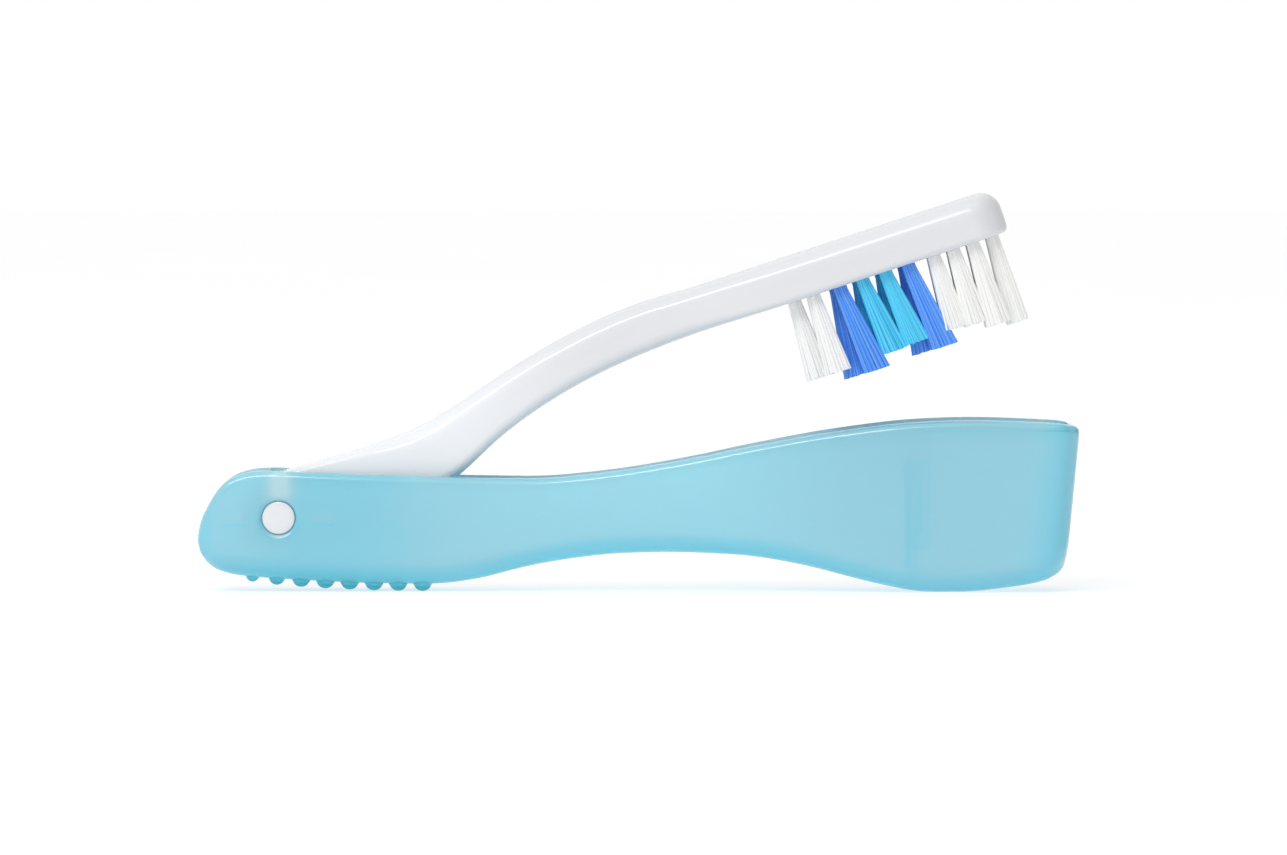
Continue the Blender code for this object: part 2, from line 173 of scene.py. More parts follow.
ARM_BASE_ROUNDING = ((-5.0, 0.8), (7.0, 0.8), (20.0, 1.5), (50.0, 1.5), (63.0, 0.8), (92.0, 0.8))

# The grip bumps on the underside of the yoke.
BUMP_COLUMNS = 8
BUMP_ROWS = (-2.6, 0.0, 2.6)
BUMP_START = -45.2
BUMP_PITCH = 2.84
BUMP_RADIUS = 1.0
BUMP_HEIGHT = 0.85
BUMP_FOOT = 0.1
BUMP_FOOT_HEIGHT = 0.4
BUMP_BURIED = 0.6
REAR_BUMP_SHRINK = 0.3
REAR_BUMP_COLUMNS = 3

# How finely the shapes are cut: sides of round ones, cross-sections along the case and the arm,
# and steps round each section's corners.
BORE_SIDES = 64
BUMP_SIDES = 28
HOLE_SIDES = 20
REAR_SECTIONS = 14
LONG_SECTIONS = 100
BAY_RUN, BAY_SECTIONS = (33.8, 46.6), 17
FRONT_SECTIONS = 10
CHANNEL_END_SECTIONS = 7
ARM_SECTIONS = 130
TIP_SECTIONS = 16
CORNER_STEPS = 10
RIM_STEPS = 6
FLANK_STEPS = 9
CHANNEL_STEPS = 8
ARM_STEPS = 9


# ---------------------------------------------------------------------------------------------
# Lines, sections and meshes
# ---------------------------------------------------------------------------------------------


def smooth_line(points, soften=0.0):
    """A function for the smooth line through the points; it stays flat wherever they do.

    Softening averages the line over a short reach, which fades out at its two ends.
    """
    sharp_end, fade = 3.0, 5.0
    x, y = np.array(points, dtype=float).T
    steps = np.diff(x)
    slopes = np.diff(y) / steps
    tangents = np.concatenate([slopes[:1], np.zeros(len(x) - 2), slopes[-1:]])
    for i in range(1, len(x) - 1):
        before, after = slopes[i - 1], slopes[i]
        if before * after > 0:
            weight_before = 2 * steps[i] + steps[i - 1]
            weight_after = steps[i] + 2 * steps[i - 1]
            total = weight_before + weight_after
            tangents[i] = total / (weight_before / before + weight_after / after)

    def exact(at):
        at = min(max(at, x[0]), x[-1])
        i = min(int(np.searchsorted(x, at, side="right")) - 1, len(steps) - 1)
        t = (at - x[i]) / steps[i]
        rise = 3 * t**2 - 2 * t**3
        lead_in = (t**3 - 2 * t**2 + t) * steps[i] * tangents[i]
        lead_out = (t**3 - t**2) * steps[i] * tangents[i + 1]
        return float(y[i] + (y[i + 1] - y[i]) * rise + lead_in + lead_out)

    def softened(at):
        to_end = min(at - x[0], x[-1] - at)
        reach = soften * min(max(to_end - sharp_end, 0.0) / fade, 1.0)
        if reach == 0.0:
            return exact(at)
        taps = np.linspace(-1, 1, 9)
        weights = 1 - 0.9 * np.abs(taps)
        values = [exact(at + reach * float(tap)) for tap in taps]
        return float(np.dot(values, weights) / weights.sum())

    return softened


def rounded_corner(half_width, centre_height, radius, start, steps):
    angles = [math.radians(start + 90 * step / steps) for step in range(steps + 1)]
    middle = half_width - radius
    return [(middle + radius * math.cos(a), centre_height + radius * math.sin(a)) for a in angles]


def rounded_section(
    half_width, low, high, low_radius, high_radius, low_steps, high_steps, flank_steps=1
):
    """Points (across, up) round a rectangle whose lower and upper corners have their own radii."""
    most = min(0.49 * (high - low), 0.98 * half_width)
    low_radius = min(low_radius, most)
    high_radius = min(high_radius, most)
    flank = np.linspace(low + low_radius, high - high_radius, flank_steps + 1)[1:-1]
    right = rounded_corner(half_width, low + low_radius, low_radius, -90, low_steps)
    right += [(half_width, float(up)) for up in flank]
    right += rounded_corner(half_width, high - high_radius, high_radius, 0, high_steps)
    return right + [(-across, up) for across, up in reversed(right)]


def add_loft(shape, rings):
    """Adds the closed body that runs through rings of equally many points."""
    loops = [[shape.verts.new(Vector(point) * MM) for point in ring] for ring in rings]
    faces = [shape.faces.new(loops[0][::-1]), shape.faces.new(loops[-1])]
    for first, second in zip(loops, loops[1:]):
        for i in range(len(first)):
            j = (i + 1) % len(first)
            faces.append(shape.faces.new((first[i], first[j], second[j], second[i])))
    bmesh.ops.recalc_face_normals(shape, faces=faces)


def prism(outline, low, high, axis):
    """Two rings: an outline in the other two axes, at two places along X, Y or Z."""
    index = "XYZ".index(axis)
    rings = []
    for place in (low, high):
        rings.append([(*point[:index], place, *point[index:]) for point in outline])
    return rings


def rectangle(centre, size):
    (x, y), (half_x, half_y) = centre, (size[0] / 2, size[1] / 2)
    return [
        (x - half_x, y - half_y),
        (x + half_x, y - half_y),
        (x + half_x, y + half_y),
        (x - half_x, y + half_y),
    ]


def circle(centre, radius, sides):
    angles = [2 * math.pi * (i + 0.5) / sides for i in range(sides)]
    return [(centre[0] + radius * math.cos(a), centre[1] + radius * math.sin(a)) for a in angles]


def make_object(name, lofts, matrix=None):
    shape = bmesh.new()
    for rings in lofts:
        add_loft(shape, rings)
    mesh = bpy.data.meshes.new(name)
    shape.to_mesh(mesh)
    shape.free()
    if matrix:
        mesh.transform(matrix)
    made = bpy.data.objects.new(name, mesh)
    bpy.context.scene.collection.objects.link(made)
    return made


def apply_modifiers(piece):
    graph = bpy.context.evaluated_depsgraph_get()
    mesh = bpy.data.meshes.new_from_object(piece.evaluated_get(graph))
    old = piece.data
    piece.modifiers.clear()
    piece.data = mesh
    bpy.data.meshes.remove(old)
    mesh.name = piece.name


def combine(piece, tool, operation):
    """Adds a tool's shape to the piece, or takes it away, and removes the tool."""
    step = piece.modifiers.new(tool.name, "BOOLEAN")
    step.operation = operation
    step.solver = "EXACT"
    step.object = tool
    apply_modifiers(piece)
    used = tool.data
    bpy.data.objects.remove(tool)
    bpy.data.meshes.remove(used)


def soften_edges(piece, width, angle):
    step = piece.modifiers.new("edges", "BEVEL")
    step.width = width * MM
    step.segments = 3
    step.limit_method = "ANGLE"
    step.angle_limit = math.radians(angle)
    step.use_clamp_overlap = True
    apply_modifiers(piece)


def finish_shading(piece, angle=38):
    piece.data.shade_smooth()
    piece.data.set_sharp_from_angle(angle=math.radians(angle))


def dress(piece, finish):
    piece.data.materials.clear()
    piece.data.materials.append(finish)


# ---------------------------------------------------------------------------------------------
# The case
# ---------------------------------------------------------------------------------------------

CASE_SOFTENING = 2.4
rim_line = smooth_line(RIM_LINE, CASE_SOFTENING)
underside_line = smooth_line(UNDERSIDE_LINE, CASE_SOFTENING)
case_half_width = smooth_line(HALF_WIDTH_LINE, CASE_SOFTENING)


def end_rounding(at, end, radius):
    """How far a rounded end has drawn in at a place within one radius of it."""
    past = min(max(at - (end - radius), 0.0), radius)
    return radius - math.sqrt(radius**2 - past**2)


def leaning(at, up):
    """X of a point of the case: its cross-sections lean out towards the front wall."""
    share = min(max((at - (CASE_FRONT_FOOT - END_LEAN_RUN)) / END_LEAN_RUN, 0.0), 1.0)
    rise = (up - END_FOOT_HEIGHT) / (END_TOP_HEIGHT - END_FOOT_HEIGHT)
    return at + END_LEAN * share**2 * rise


def round_end_places(end, radius, count):
    """Places that close up towards a rounded end, evenly by angle."""
    angles = np.linspace(0, math.pi / 2, count + 1)[1:]
    return [end - radius * (1 - math.sin(a)) for a in angles]


def shared_places():
    """Cross-sections that the outside of the case and its channel have in common."""
    long_run = np.linspace(SILL_END, REST_FLAT[0], LONG_SECTIONS)
    return list(long_run) + list(np.linspace(*BAY_RUN, BAY_SECTIONS))


def bay_end():
    """How far forward the tips of the filaments may reach in the shut case."""
    return CASE_FRONT_FOOT - END_WALL - TIP_CLEARANCE


def case_outer():
    """The outside of the case, from its rounded rear to its leaning front."""
    rear_depth = SILL_END - CASE_REAR
    rear_angles = np.linspace(0, math.pi / 2, REAR_SECTIONS + 1)[:-1]
    places = [CASE_REAR + rear_depth * (1 - math.cos(a)) for a in rear_angles]
    places += shared_places()
    places += round_end_places(CASE_FRONT_FOOT, END_CORNER_RADIUS, FRONT_SECTIONS)
    rings = []
    for at in places:
        inset = end_rounding(at, CASE_FRONT_FOOT, END_CORNER_RADIUS)
        section = rounded_section(
            case_half_width(at) - inset, underside_line(at), rim_line(at),
            CORNER_RADIUS, RIM_RADIUS, CORNER_STEPS, RIM_STEPS, FLANK_STEPS,
        )
        rings.append([(leaning(at, up), across, up) for across, up in section])
    return rings


def channel():
    """The space inside the case. It runs out through the rear, above the sill of the yoke."""
    end = CASE_FRONT_FOOT - END_WALL
    past_rear, past_top = 3.0, 6.0
    top_radius, top_steps = 0.5, 1
    places = [CASE_REAR - past_rear] + shared_places()
    places += round_end_places(end, CHANNEL_END_RADIUS, CHANNEL_END_SECTIONS)
    rings = []
    for at in places:
        inset = end_rounding(at, end, CHANNEL_END_RADIUS)
        foot = REAR_SILL
        if at > SILL_END:
            foot = max(underside_line(at) + FLOOR, REAR_SILL - SILL_SLOPE * (at - SILL_END))
        section = rounded_section(
            case_half_width(max(at, SILL_END)) - WALL - inset, foot + inset,
            CASE_HIGH[2] + past_top, CHANNEL_CORNER_RADIUS, top_radius, CHANNEL_STEPS, top_steps,
        )
        rings.append([(leaning(at, up), across, up) for across, up in section])
    return rings


def pivot_bore():
    """Bore through both cheeks, its edges rounded where it meets their outer faces."""
    radius = TRUNNION_RADIUS + TRUNNION_CLEARANCE
    past_face = 0.3
    rings = []
    profile = [(-CHEEK_HALF_WIDTH - past_face, radius + BORE_EDGE_RADIUS + past_face)]
    for angle in range(0, 91, 15):
        a = math.radians(angle)
        across = -CHEEK_HALF_WIDTH + BORE_EDGE_RADIUS * (1 - math.cos(a))
        profile.append((across, radius + BORE_EDGE_RADIUS * (1 - math.sin(a))))
    for across, size in profile + [(-across, size) for across, size in reversed(profile)]:
        rings.append([(x, across, z) for x, z in circle(PIVOT, size, BORE_SIDES)])
    return rings


def lead_in_grooves():
    """Tapered grooves down the inner faces of the cheeks, for snapping the trunnions in."""
    x, z = PIVOT
    mouth, throat, depth = 1.35, 0.85, 0.6
    high, low = z + 7, z + 1
    outline = [(x - mouth, high), (x + mouth, high), (x + throat, low), (x - throat, low)]
    return prism(outline, -CHEEK_HALF_GAP - depth, CHEEK_HALF_GAP + depth, "Y")


def detent_pockets():
    """Shallow pockets in the cheeks' inner faces that catch the arm's nubs, shut and open."""
    reach = CHEEK_HALF_GAP + DETENT_DEPTH
    bodies = []
    for side in (-1, 1):
        outline = rectangle((PIVOT[0] + side * DETENT_REACH, PIVOT[1]), DETENT_POCKET)
        bodies.append(prism(outline, -reach, reach, "Y"))
    return bodies


def bay_ribs():
    """A wedge-shaped upright rib on each side wall of the head bay, tapering to its foot."""
    bodies = []
    for side in (-1, 1):
        rings = []
        for up, left in ((RIB_FOOT, RIB_LEFT + RIB_TAPER), (RIB_TOP, RIB_LEFT)):
            face = ((left, RIB_FACE[0]), (RIB_RIGHT, RIB_FACE[1]))
            corners = (*face, (RIB_RIGHT, RIB_BACK), (left, RIB_BACK))
            rings.append([(x, side * y, up) for x, y in corners])
        bodies.append(rings)
    return bodies


def grip_bumps():
    """Rows of low round bumps on the underside of the yoke, smaller towards the rear."""
    bodies = []
    for column in range(BUMP_COLUMNS):
        x = BUMP_START + column * BUMP_PITCH
        base = underside_line(x)
        size = 1 - REAR_BUMP_SHRINK * max(1 - column / REAR_BUMP_COLUMNS, 0.0) ** 2
        for y in BUMP_ROWS:
            wide = size * BUMP_RADIUS + BUMP_FOOT
            rings = [[(*at, base + BUMP_BURIED) for at in circle((x, y), wide, BUMP_SIDES)]]
            for angle in range(0, 91, 9):
                a = math.radians(min(angle, 87))
                drop = size * BUMP_HEIGHT * math.sin(a)
                foot = BUMP_FOOT * max(1 - drop / BUMP_FOOT_HEIGHT, 0.0) ** 2
                spread = size * BUMP_RADIUS * math.cos(a) + foot
                rings.append([(*at, base - drop) for at in circle((x, y), spread, BUMP_SIDES)])
            bodies.append(rings)
    return bodies


def add_values(mesh, name, values):
    layer = mesh.attributes.new(name, "FLOAT", "POINT")
    layer.data.foreach_set("value", values)


def falloff(distance, reach):
    """1 at no distance, easing down to 0 at the reach."""
    share = min(max(distance / reach, 0.0), 1.0)
    return (1 - share) ** 2 * (1 + 2 * share)


# How deeply the case is tinted: the walls everywhere, then what each edge adds, and its reach.
MIDDLE_DEPTH = 0.2
YOKE_DEPTH, YOKE_DEEPEST, YOKE_REACH = 0.22, -36.0, 17.0
BASE_DEPTH, BASE_REACH = 0.75, 2.6
FRONT_DEPTH, FRONT_REACH = 0.5, 6.5
REAR_DEPTH, REAR_REACH = 0.35, 2.5
RIM_DEPTH, RIM_REACH = 0.1, 0.5
# The bumps' deep tint is partly thick material and partly painted shade.
BUMP_DEPTH_AND_SHADE, BUMP_REACH = 1.45, 0.35
MOST_DEPTH = 1.6
# What a painted highlight on the rounded edge of the bore, and painted light on the inner faces near the rim, take
# off the depth.
LIP_PAINTED_HIGHLIGHT = 0.5
RIM_PAINTED_LIGHT, RIM_PAINTED_LIGHT_REACH = 0.4, 4.0
# Painted shade in the head bay, as a greyer haze: how much at its foot and how much more at its rim, and where it
# starts.
BAY_PAINTED_SHADE, BAY_PAINTED_SHADE_RISE, BAY_START, BAY_REACH = 0.2, 0.7, 2.0, 24.0
FRONT_CLEARING, FRONT_CLEARING_REACH = 0.6, 7.0
YOKE_HAZE, REAR_HAZE, REAR_HAZE_REACH = 0.1, 0.35, 12.0
INNER_CLEARING = 0.3


def painted_lip_highlight(place):
    """How strongly a painted highlight lies on the rounded edge of the bore: most at its lowest point."""
    x, y, z = place
    reach = math.hypot(x - PIVOT[0], z - PIVOT[1])
    share = (reach - TRUNNION_RADIUS - TRUNNION_CLEARANCE) / BORE_EDGE_RADIUS
    on_edge = 0.02 < share < 0.98 and abs(y) >= CHEEK_HALF_WIDTH - BORE_EDGE_RADIUS
    if not on_edge:
        return 0.0
    return max((PIVOT[1] - z) / reach, 0.0) ** 3 * math.sin(math.pi * share)


def tint_depth(x, z, at, height, from_front):
    """How deeply a place of the case is tinted: more towards its edges, and most on the bumps, partly as painted
    shade.
    """
    on_bump = height < -0.1
    if on_bump:
        return BASE_DEPTH + (BUMP_DEPTH_AND_SHADE - BASE_DEPTH) * min(-height / BUMP_REACH, 1.0)
    body = MIDDLE_DEPTH + YOKE_DEPTH * falloff(abs(x - YOKE_DEEPEST), YOKE_REACH)
    return body + max(
        BASE_DEPTH * falloff(height, BASE_REACH),
        FRONT_DEPTH * falloff(from_front, FRONT_REACH),
        REAR_DEPTH * falloff(x - CASE_REAR, REAR_REACH),
        RIM_DEPTH * falloff(rim_line(at) - z, RIM_REACH),
    )


def wall_haze_and_bay_shade(x, at, height, from_front):
    """How hazy the wall looks: painted shade in the head bay, most in its upper part, and a little greyer at the
    rear.
    """
    rise = min(max(height / (rim_line(at) - underside_line(at)), 0.0), 1.0)
    haze_and_shade = (BAY_PAINTED_SHADE + BAY_PAINTED_SHADE_RISE * rise) * (1 - falloff(at - BAY_START, BAY_REACH))
    haze_and_shade *= 1 - FRONT_CLEARING * falloff(from_front, FRONT_CLEARING_REACH)
    return max(haze_and_shade, YOKE_HAZE + REAR_HAZE * falloff(x - CASE_REAR, REAR_HAZE_REACH))


def is_inside(y, at, height, from_front):
    """True past the middle of the walls, so for the faces of the channel."""
    past = 0.6
    side_in = abs(y) < case_half_width(at) - past * WALL
    return side_in and height > past * FLOOR and from_front > past * END_WALL


def mark_case(mesh):
    """Stores how deeply each place is tinted less its painted light, its haze and painted shade, and whether it is
    inside.
    """
    depths, haze_and_shade_values, insides = [], [], []
    for vertex in mesh.vertices:
        x, y, z = vertex.co / MM
        at = x - (leaning(x, z) - x)
        height = z - underside_line(at)
        from_front = leaning(CASE_FRONT_FOOT, z) - x
        inside = float(is_inside(y, at, height, from_front))
        # Painted light on the inner faces near the rim, which lie in shade, and a painted highlight on the bore's
        # edge: both make the tint paler, and the first clears the haze.
        painted_rim_light = inside * falloff(rim_line(at) - z, RIM_PAINTED_LIGHT_REACH)
        painted_lightness = LIP_PAINTED_HIGHLIGHT * painted_lip_highlight((x, y, z)) + RIM_PAINTED_LIGHT * painted_rim_light
        depths.append((tint_depth(x, z, at, height, from_front) - painted_lightness) / MOST_DEPTH)
        haze_and_shade = wall_haze_and_bay_shade(x, at, height, from_front)
        haze_and_shade_values.append(haze_and_shade * (1 - INNER_CLEARING * inside) * (1 - painted_rim_light))
        insides.append(inside)
    add_values(mesh, "depth", depths)
    add_values(mesh, "haze_and_shade", haze_and_shade_values)
    add_values(mesh, "inside", insides)


def build_case():
    case = make_object("case_moulding", [case_outer()])
    combine(case, make_object("channel_tool", [channel()]), "DIFFERENCE")
    soften_edges(case, EDGE_SOFTNESS, angle=50)
    combine(case, make_object("bump_tool", grip_bumps()), "UNION")
    combine(case, make_object("rib_tool", bay_ribs()), "UNION")
    combine(case, make_object("bore_tool", [pivot_bore()]), "DIFFERENCE")
    combine(case, make_object("groove_tool", [lead_in_grooves()]), "DIFFERENCE")
    combine(case, make_object("pocket_tool", detent_pockets()), "DIFFERENCE")
    mark_case(case.data)
    finish_shading(case)
    dress(case, frosted_plastic())
    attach(case, "case")
    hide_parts("case_shell")


# ---------------------------------------------------------------------------------------------
# The arm
# ---------------------------------------------------------------------------------------------


def arm_body():
    """The shut arm, from its round hub to the tip of its head."""
    soften, soften_more = 2.6, 4.0
    top = smooth_line(ARM_TOP_LINE, soften)
    base = smooth_line(ARM_BASE_LINE, soften)
    half_width = smooth_line(ARM_HALF_WIDTH_LINE, soften_more)
    top_rounding = smooth_line(ARM_TOP_ROUNDING, soften_more)
    base_rounding = smooth_line(ARM_BASE_ROUNDING, soften_more)
    places = [-HUB_RADIUS * math.cos(math.radians(angle)) for angle in range(6, 90, 6)]
    places += list(np.linspace(0.0, HEAD_TIP - HEAD_TIP_RADIUS, ARM_SECTIONS))
    places += round_end_places(HEAD_TIP, HEAD_TIP_RADIUS, TIP_SECTIONS)
    rings = []
    for at in places:
        if at < 0:
            high = math.sqrt(HUB_RADIUS**2 - at**2)
            low = -high
        else:
            high = top(at) - end_rounding(at, HEAD_TIP, top_rounding(at))
            low = base(at) + end_rounding(at, HEAD_TIP, base_rounding(at))
        across_half = half_width(at) - end_rounding(at, HEAD_TIP, HEAD_TIP_RADIUS)
        section = rounded_section(
            across_half, low, high, base_rounding(at), top_rounding(at), ARM_STEPS, ARM_STEPS
        )
        rings.append([(at, across, up) for across, up in section])
    return rings


def trunnions():
    """One pin through the hub; its domed ends stand in the bores of the cheeks."""
    dome, steps = 0.22, 12
    profile = []
    for step in range(1, steps + 1):
        share = step / steps
        profile.append((TRUNNION_REACH - dome * share**4, TRUNNION_RADIUS * share))
    rings = []
    for across, size in [(-across, size) for across, size in profile] + profile[::-1]:
        rings.append([(x, across, z) for x, z in circle((0, 0), size, BORE_SIDES)])
    return rings


def detent_nub():
    """A low pad on each face of the hub, one body from side to side."""
    reach = HUB_HALF_WIDTH + NUB_PROUD
    return prism(rectangle((DETENT_REACH, 0.0), NUB_SIZE), -reach, reach, "Y")


def tuft_holes(tufts):
    """Blind holes in the underside of the head, one for each tuft."""
    past_face = 1.0
    bodies = []
    for tuft in tufts:
        outline = circle(tuft["root"], HOLE_RADIUS, HOLE_SIDES)
        bodies.append(prism(outline, HEAD_BASE - past_face, HEAD_BASE + HOLE_DEPTH, "Z"))
    return bodies


def mark_arm(mesh):
    """Stores the painted light that brightens the arm round its root, and where it turns satin, at its head."""
    root_middle, root_reach, satin_reach = 16.0, 28.0, 45.0
    places = [vertex.co.x / MM for vertex in mesh.vertices]
    add_values(mesh, "root_painted_light", [falloff(abs(at - root_middle), root_reach) for at in places])
    add_values(mesh, "satin", [falloff(HEAD_TIP - at, satin_reach) for at in places])


def build_arm(tufts):
    arm = make_object("brush_moulding", [arm_body()])
    combine(arm, make_object("trunnion_tool", [trunnions()]), "UNION")
    combine(arm, make_object("nub_tool", [detent_nub()]), "UNION")
    combine(arm, make_object("hole_tool", tuft_holes(tufts)), "DIFFERENCE")
    mark_arm(arm.data)
    arm.data.transform(ARM_TO_ROW)
    finish_shading(arm)
    dress(arm, white_plastic())
    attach(arm, "brush")
    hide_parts("brush_arm")


# ---------------------------------------------------------------------------------------------
# The tufts
# ---------------------------------------------------------------------------------------------


def box_middle(points):
    return (points.max(axis=0) + points.min(axis=0)) / 2


def read_tufts():
    """Each tuft's root, tip and colour, in the arm's own axes, from the solid that stands for it."""
    slots = {part["node"]: part["material_slot"] for part in frame["record"]["subparts"]}
    row_to_arm = ARM_TO_ROW.inverted()
    slack = 0.05
    tufts = []
    for name in sorted(frame["nodes"]):
        if not name.startswith("tuft_"):
            continue
        mesh = frame["nodes"][name].data
        points = np.array([(row_to_arm @ vertex.co) / MM for vertex in mesh.vertices])
        top = points[points[:, 2] > points[:, 2].max() - slack]
        end = points[points[:, 2] < points[:, 2].min() + slack]
        tufts.append({
            "node": name,
            "slot": slots[name],
            "root": tuple(box_middle(top)[:2]),
            "tip": tuple(box_middle(end)),
        })
    return tufts


def filament_places(radius, rng):
    """Places of filaments packed hexagonally in a round hole."""
    places = []
    reach = int(radius / FILAMENT_PITCH) + 2
    for row in range(-reach, reach + 1):
        for column in range(-reach, reach + 1):
            x = (column + 0.5 * (row % 2)) * FILAMENT_PITCH
            y = row * FILAMENT_PITCH * math.sqrt(3) / 2
            if math.hypot(x, y) < radius - 0.3 * FILAMENT_PITCH:
                x += rng.uniform(-ROOT_JITTER, ROOT_JITTER)
                y += rng.uniform(-ROOT_JITTER, ROOT_JITTER)
                places.append((x, y))
    return places


def filament(start, offset, tuft, rng):
    """Points along one filament, from inside its hole to its trimmed tip."""
    root_x, root_y = tuft["root"]
    tip_x, tip_y, tip_up = tuft["tip"]
    length = HEAD_BASE - tip_up
    bow = rng.uniform(-BOW, BOW)
    drift_x = rng.gauss(0, DRIFT)
    drift_y = rng.gauss(0, DRIFT)
    trim = rng.uniform(-TRIM, TRIM)
    room = bay_end() - PIVOT[0] - tip_x - FILAMENT_TIP_RADIUS
    fan = min(FAN_ALONG, room / TUFT_RADIUS - 1) if offset[0] > 0 else FAN_ALONG
    points = []
    for level in range(FILAMENT_LEVELS):
        share = level / (FILAMENT_LEVELS - 1)
        up = start - (start - tip_up + trim) * share
        out = max(HEAD_BASE - up, 0.0) / length
        x = root_x + offset[0] * (1 + fan * out) + (tip_x - root_x) * out
        y = root_y + offset[1] * (1 + FAN_ACROSS * out) + (tip_y - root_y) * out
        x += drift_x * out + bow * out * (1 - out)
        y += drift_y * out
        points.append((x, y, up))
    return points


def build_tuft(tuft, finishes):
    rng = random.Random(tuft["node"])
    vertices, faces, tones = [], [], []
    for offset in filament_places(TUFT_RADIUS, rng):
        points = filament(HEAD_BASE + FILAMENT_BURIED, offset, tuft, rng)
        tone = rng.random()
        turn = rng.uniform(0, math.tau)
        first = len(vertices)
        for level, (x, y, up) in enumerate(points):
            share = level / (FILAMENT_LEVELS - 1)
            radius = FILAMENT_RADIUS + (FILAMENT_TIP_RADIUS - FILAMENT_RADIUS) * share
            for side in range(FILAMENT_SIDES):
                angle = turn + math.tau * side / FILAMENT_SIDES
                vertices.append((x + radius * math.cos(angle), y + radius * math.sin(angle), up))
                tones.append(tone)
        for level in range(FILAMENT_LEVELS - 1):
            for side in range(FILAMENT_SIDES):
                a = first + level * FILAMENT_SIDES + side
                b = first + level * FILAMENT_SIDES + (side + 1) % FILAMENT_SIDES
                faces.append((a, a + FILAMENT_SIDES, b + FILAMENT_SIDES, b))
        faces.append(tuple(first + side for side in range(FILAMENT_SIDES)))
        last = first + (FILAMENT_LEVELS - 1) * FILAMENT_SIDES
        faces.append(tuple(last + side for side in reversed(range(FILAMENT_SIDES))))
    name = tuft["node"].replace("tuft_", "bristles_")
    mesh = bpy.data.meshes.new(name)
    mesh.from_pydata([Vector(v) * MM for v in vertices], [], faces)
    add_values(mesh, "tone", tones)
    mesh.transform(ARM_TO_ROW)
    piece = bpy.data.objects.new(name, mesh)
    bpy.context.scene.collection.objects.link(piece)
    finish_shading(piece, angle=50)
    dress(piece, finishes[tuft["slot"]])
    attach(piece, "brush")
    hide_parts(tuft["node"])


# ---------------------------------------------------------------------------------------------
# Materials
# ---------------------------------------------------------------------------------------------


# Case tints by depth, pale to deep teal; the deepest stop, reached only on the bumps, is partly painted shade.
CASE_TINTS = (
    (0.0, (0.72, 0.97, 1.0)),
    (0.13, (0.45, 0.86, 0.96)),
    (0.28, (0.30, 0.84, 0.98)),
    (0.6, (0.14, 0.82, 1.0)),
    (0.95, (0.0, 0.60, 0.70)),
)
# The greyer tint of the haze, which in the head bay is painted shade.
HAZE_AND_SHADE_TINT = (0.345, 0.71, 0.825)
# From the arm's plain tint to the lighter one, reached only round the root, where it is painted light.
ARM_TINTS = ((0.0, (0.735, 0.74, 0.765)), (1.0, (0.85, 0.87, 0.90)))
METAL_TINTS = ((0.3, (0.70, 0.57, 0.32)), (0.7, (0.80, 0.68, 0.42)))
FLOOR_TINTS = ((0.3, (0.39, 0.39, 0.39)), (0.7, (0.41, 0.41, 0.41)))
NYLONS = {
    "tuft_white": ("white_nylon", (0.90, 0.90, 0.89), (0.94, 0.94, 0.935), 0.35),
    "tuft_blue": ("blue_nylon", (0.09, 0.325, 0.91), (0.155, 0.42, 0.96), 0.32),
    "tuft_cyan": ("cyan_nylon", (0.07, 0.60, 0.89), (0.12, 0.69, 0.94), 0.32),
}


def middle_of(low, high):
    """Centre of a rectangle of the side view, in metres."""
    return ((low[0] + high[0]) * MM / 2, 0.0, (low[1] + high[1]) * MM / 2)


def through_the_wall():
    """Tints for what shows through the frosted wall.

    Each has two opposite corners in the side view, the widths over which it fades along and up,
    and how much deeper the tint is there.
    """
    x, z = PIVOT
    half_length, half_height = DETENT_POCKET[0] / 2, DETENT_POCKET[1] / 2
    patches = [
        # The lead-in groove, where the wall is thin, and the thicker ring round the bore.
        ((x - 1.4, z + 1.2), (x + 1.8, CASE_HIGH[2]), (1.9, 3.0), -0.42),
        ((x - 2.8, z - 2.4), (x + 2.8, z + 2.2), (1.3, 1.3), 0.1),
        # The rib: its thick left part, left edge, whole face, top edge, middle and right edge.
        ((RIB_LEFT, RIB_FOOT), (RIB_LEFT + 1.6, RIB_TOP), (0.9, 0.3), 0.12),
        ((RIB_LEFT, RIB_FOOT + 1), (RIB_LEFT + 0.6, RIB_TOP), (0.25, 0.3), 0.2),
        ((RIB_LEFT, RIB_FOOT + 3), (RIB_RIGHT, RIB_TOP), (0.3, 0.3), 0.12),
        ((RIB_LEFT, RIB_TOP - 0.3), (RIB_RIGHT, RIB_TOP), (0.2, 0.2), 0.35),
        ((RIB_LEFT + 1.5, RIB_TOP - 8.0), (RIB_LEFT + 2.0, RIB_TOP - 0.8), (0.25, 1.0), 0.2),
        ((RIB_RIGHT - 0.2, RIB_FOOT + 8), (RIB_RIGHT, RIB_TOP), (0.15, 2.0), 0.2),
        # The parting line of the bay, below its rim.
        ((RIB_LEFT, PARTING_HEIGHT), (CASE_HIGH[0] + 5, PARTING_HEIGHT + 0.16), (0.4, 0.1), 1.2),
    ]
    for side in (-1, 1):
        # A detent pocket, paler, over its darker lower edge.
        left, right = x + side * DETENT_REACH - half_length, x + side * DETENT_REACH + half_length
        low, high = z - half_height, z + half_height
        patches.append(((left, low), (right, high), (0.8, 0.8), -0.08))
        patches.append(((left, low - 0.2), (right, low + 0.2), (0.4, 0.3), 0.2))
    return patches


def new_material(name):
    made = bpy.data.materials.new(name)
    made.use_nodes = True
    nodes = made.node_tree.nodes
    return made, nodes, made.node_tree.links, nodes["Principled BSDF"]


def add_attribute(nodes, name):
    attribute = nodes.new("ShaderNodeAttribute")
    attribute.attribute_name = name
    return attribute.outputs["Fac"]


